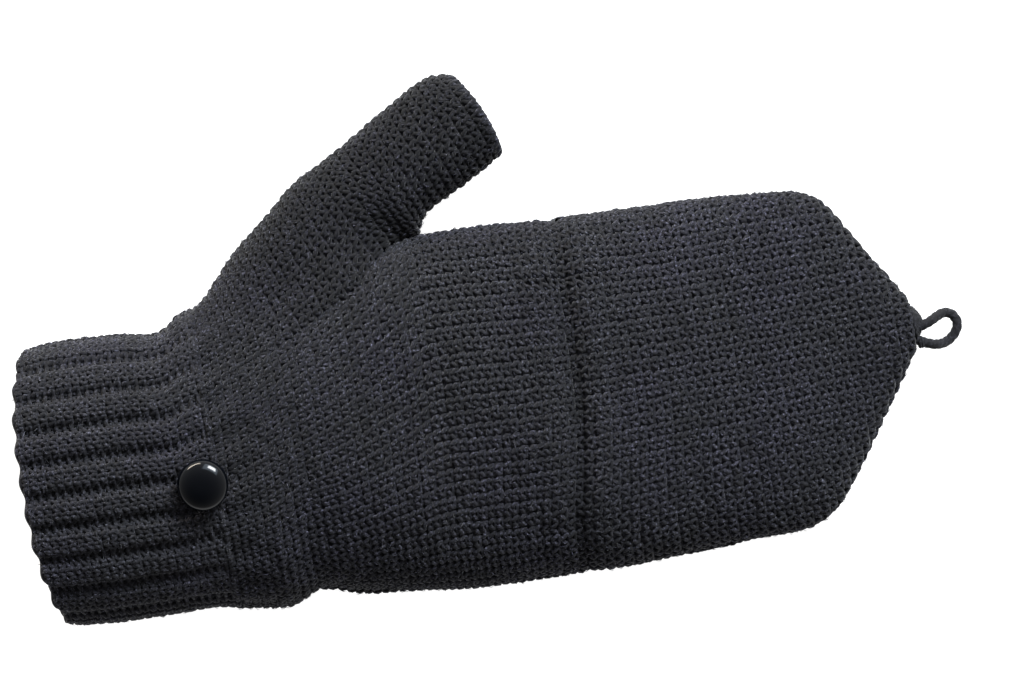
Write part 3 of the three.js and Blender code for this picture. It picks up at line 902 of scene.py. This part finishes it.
# name, thumb side, little-finger side, height and open end
stubs = (("index_stub", 21.6, 1.2, 24.6, 57), ("middle_stub", 0.7, -21.9, 27.8, 61),
         ("ring_stub", -22.4, -44.2, 27.2, 59), ("little_stub", -44.7, -63.2, 22.6, 54))
for name, high, low, height, end in stubs:
    count = int(round((end - STUB_BASE) / STUB_COURSE))
    angles = np.linspace(0, TURN, 300)
    grid = []
    for row in np.arange(0, count + 0.25, 0.5):
        x = STUB_BASE + (end - STUB_BASE) * row / count
        top = height - STUB_TAPER * (x - STUB_BASE)
        middle = (top + STUB_RISE) / 2
        c, s = np.cos(angles), np.sin(angles)
        y = (high + low) / 2 + (high - low) / 2 * power(c, 2 / 2.4)
        z = middle + (top - middle) * power(s, 2 / np.where(s > 0, 2.4, 2.2))
        grid.append(even(np.stack([np.full(angles.shape, x), y, z], -1), STUB_WALES * 4 + 1)[::-1])
    surface = Surface(np.array(grid), 0, 0.5, 0, 0.25)
    mesh = Mesh()
    knit(mesh, surface, range(1, count), always(0), always(STUB_WALES), YARN,
         relief=lambda row, wale, p: -INNER + 0 * row, end_dip=0)
    backing(mesh, surface, (0, count - 0.2), always(0), always(STUB_WALES), INNER + CORE_DEPTH)
    wales = np.linspace(0, STUB_WALES, STUB_WALES * 10)
    p, n = surface.at(count - 0.2 + 0.4 * np.sin(wales * TURN), wales)
    tube(mesh, p - n * INNER, n, YARN * 1.1)
    obj = mesh.build(name + "_knit", WOOL)
    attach(obj, "hand")
    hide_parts(name)

# Yarn that closes the tip and is wrapped round both legs of the loop.
LEG_Y, LEG_Z = (-19.2, -23.5), 6.3
WRAP_X, WRAP_PITCH, WRAP_YARN = 124.6, 0.6, 0.40
CLOSING_RINGS = 9
along = np.array([1.0, 0, 0])
knot = Mesh()
for leg in LEG_Y:
    for k in range(2):
        t = np.linspace(0, TURN, 30)
        x = WRAP_X + WRAP_PITCH * k + 0.2 * np.sin(t)
        path = np.stack([x, leg + LOOP_RADIUS * np.cos(t), LEG_Z + LOOP_RADIUS * np.sin(t)], -1)
        tube(knot, path, along, WRAP_YARN)
t = np.linspace(0, TURN, 90)
end = hand_oval(LAST_X, t)
middle = (end.max(axis=0) + end.min(axis=0)) / 2
for k in range(CLOSING_RINGS):
    share = k / (CLOSING_RINGS - 1)
    ring = middle + (end - middle) * (1 - 0.98 * share) * (1 - INNER / 5)
    ring[:, 0] = TIP_X - 1.4 + 1.9 * math.sin(share * math.pi / 2)
    tube(knot, ring + 0.15 * np.sin(14 * t + k)[:, None] * along, along, YARN)
knot = knot.build("loop_wrap", [cord_wool, inner_layer_gap_shade])
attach(knot, "cap")
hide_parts("loop_knot")

# ---------------------------------------------------------------- button


BUTTON_RADIUS = 7.02
RIM = 0.95               # height of the rim under the dome


def lathe(name, outline, centre, sides, materials):
    """A piece turned round an upright axis. The outline is pairs of radius and height."""
    outline = np.array(outline, float)
    angles = np.arange(sides) * TURN / sides
    points = np.stack([outline[:, None, 0] * np.cos(angles), outline[:, None, 0] * np.sin(angles),
                       np.repeat(outline[:, None, 1], sides, 1)], -1).reshape(-1, 3) + centre
    mesh = Mesh()
    mesh.add(points, ring_faces(len(outline), sides))
    return mesh.build(name, materials)


button_lo, button_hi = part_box("button")
bx, by = [(button_lo[k] + button_hi[k]) / 2 / MM + MIDDLE[k] for k in range(2)]
base, crown = button_lo[2] / MM, button_hi[2] / MM
dome = [(0.05, base), (5.6, base), (6.6, base + 0.2), (7.0, base + 0.65), (BUTTON_RADIUS, base + RIM)]
for a in np.linspace(0, math.pi / 2, 25)[1:]:
    height = base + RIM + (crown - base - RIM) * math.sin(a)
    dome.append((BUTTON_RADIUS * math.cos(a) ** 0.82 + 1e-3, height))
button = lathe("button_dome", dome, (bx, by, 0), 96, [gloss])
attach(button, "button")
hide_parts("button")

thread_lo, thread_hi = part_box("button_thread")
THREAD, THREAD_TURNS, STALK_RADIUS = 0.32, 5, 0.8
stalk = Mesh()
for k in range(THREAD_TURNS):
    t = np.linspace(0, TURN, 24)
    z = thread_lo[2] / MM + 0.3 + k * (thread_hi[2] - thread_lo[2]) / MM / THREAD_TURNS
    path = np.stack([bx + STALK_RADIUS * np.cos(t), by + STALK_RADIUS * np.sin(t), np.full(t.shape, z)], -1)
    tube(stalk, path, (0, 0, 1.0), THREAD)
stalk = stalk.build("button_stalk", [cord_wool, inner_layer_gap_shade])
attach(stalk, "button_stalk")
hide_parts("button_thread")

# ---------------------------------------------------------------- floor and light

FLOOR_Z = -0.0016        # just under the lowest loose stitches
bpy.ops.mesh.primitive_plane_add(size=6, location=(0, 0, FLOOR_Z))
floor = bpy.context.object
floor.name = "floor"
floor.data.materials.append(plain_material("floor_white", (0.35, 0.35, 0.35), 0.9, 0.0, glow=0.96))


def area_light(name, place, size, energy, colour):
    """A rectangular lamp turned to the middle of the mitten."""
    data = bpy.data.lights.new(name, "AREA")
    data.shape, data.size, data.size_y = "RECTANGLE", size[0], size[1]
    data.energy, data.color = energy, colour
    light = bpy.data.objects.new(name, data)
    light.location = place
    light.rotation_euler = (-Vector(place)).to_track_quat("-Z", "Y").to_euler()
    scene.collection.objects.link(light)


area_light("key", (0.80, 1.10, 1.0), (0.62, 0.46), 66, (0.95, 0.98, 1.0))
area_light("glow", (0.80, 1.22, 1.1), (1.3, 1.1), 26, (0.70, 0.84, 1.0))
area_light("rim", (-0.55, 1.6, 0.45), (1.1, 0.14), 36, (1.0, 0.90, 0.76))
# The studio's white walls: dim overhead, so that the button stays black, and bright low at the upper right.
world = bpy.data.worlds.new("studio")
world.use_nodes = True
tree = world.node_tree
place = tree.nodes.new("ShaderNodeTexCoord")
toward = tree.nodes.new("ShaderNodeVectorMath")
toward.operation = "DOT_PRODUCT"
toward.inputs[1].default_value = (0.25, 0.45, -0.86)
level = tree.nodes.new("ShaderNodeMapRange")
level.inputs["From Min"].default_value, level.inputs["From Max"].default_value = -1.0, 1.0
level.inputs["To Min"].default_value, level.inputs["To Max"].default_value = 0.15, 2.1
tree.links.new(place.outputs["Generated"], toward.inputs[0])
tree.links.new(toward.outputs["Value"], level.inputs["Value"])
tree.links.new(level.outputs["Result"], tree.nodes["Background"].inputs["Strength"])
tree.nodes["Background"].inputs["Color"].default_value = (1, 1, 1, 1)
scene.world = world
scene.view_settings.view_transform = "Standard"
scene.view_settings.look = "None"
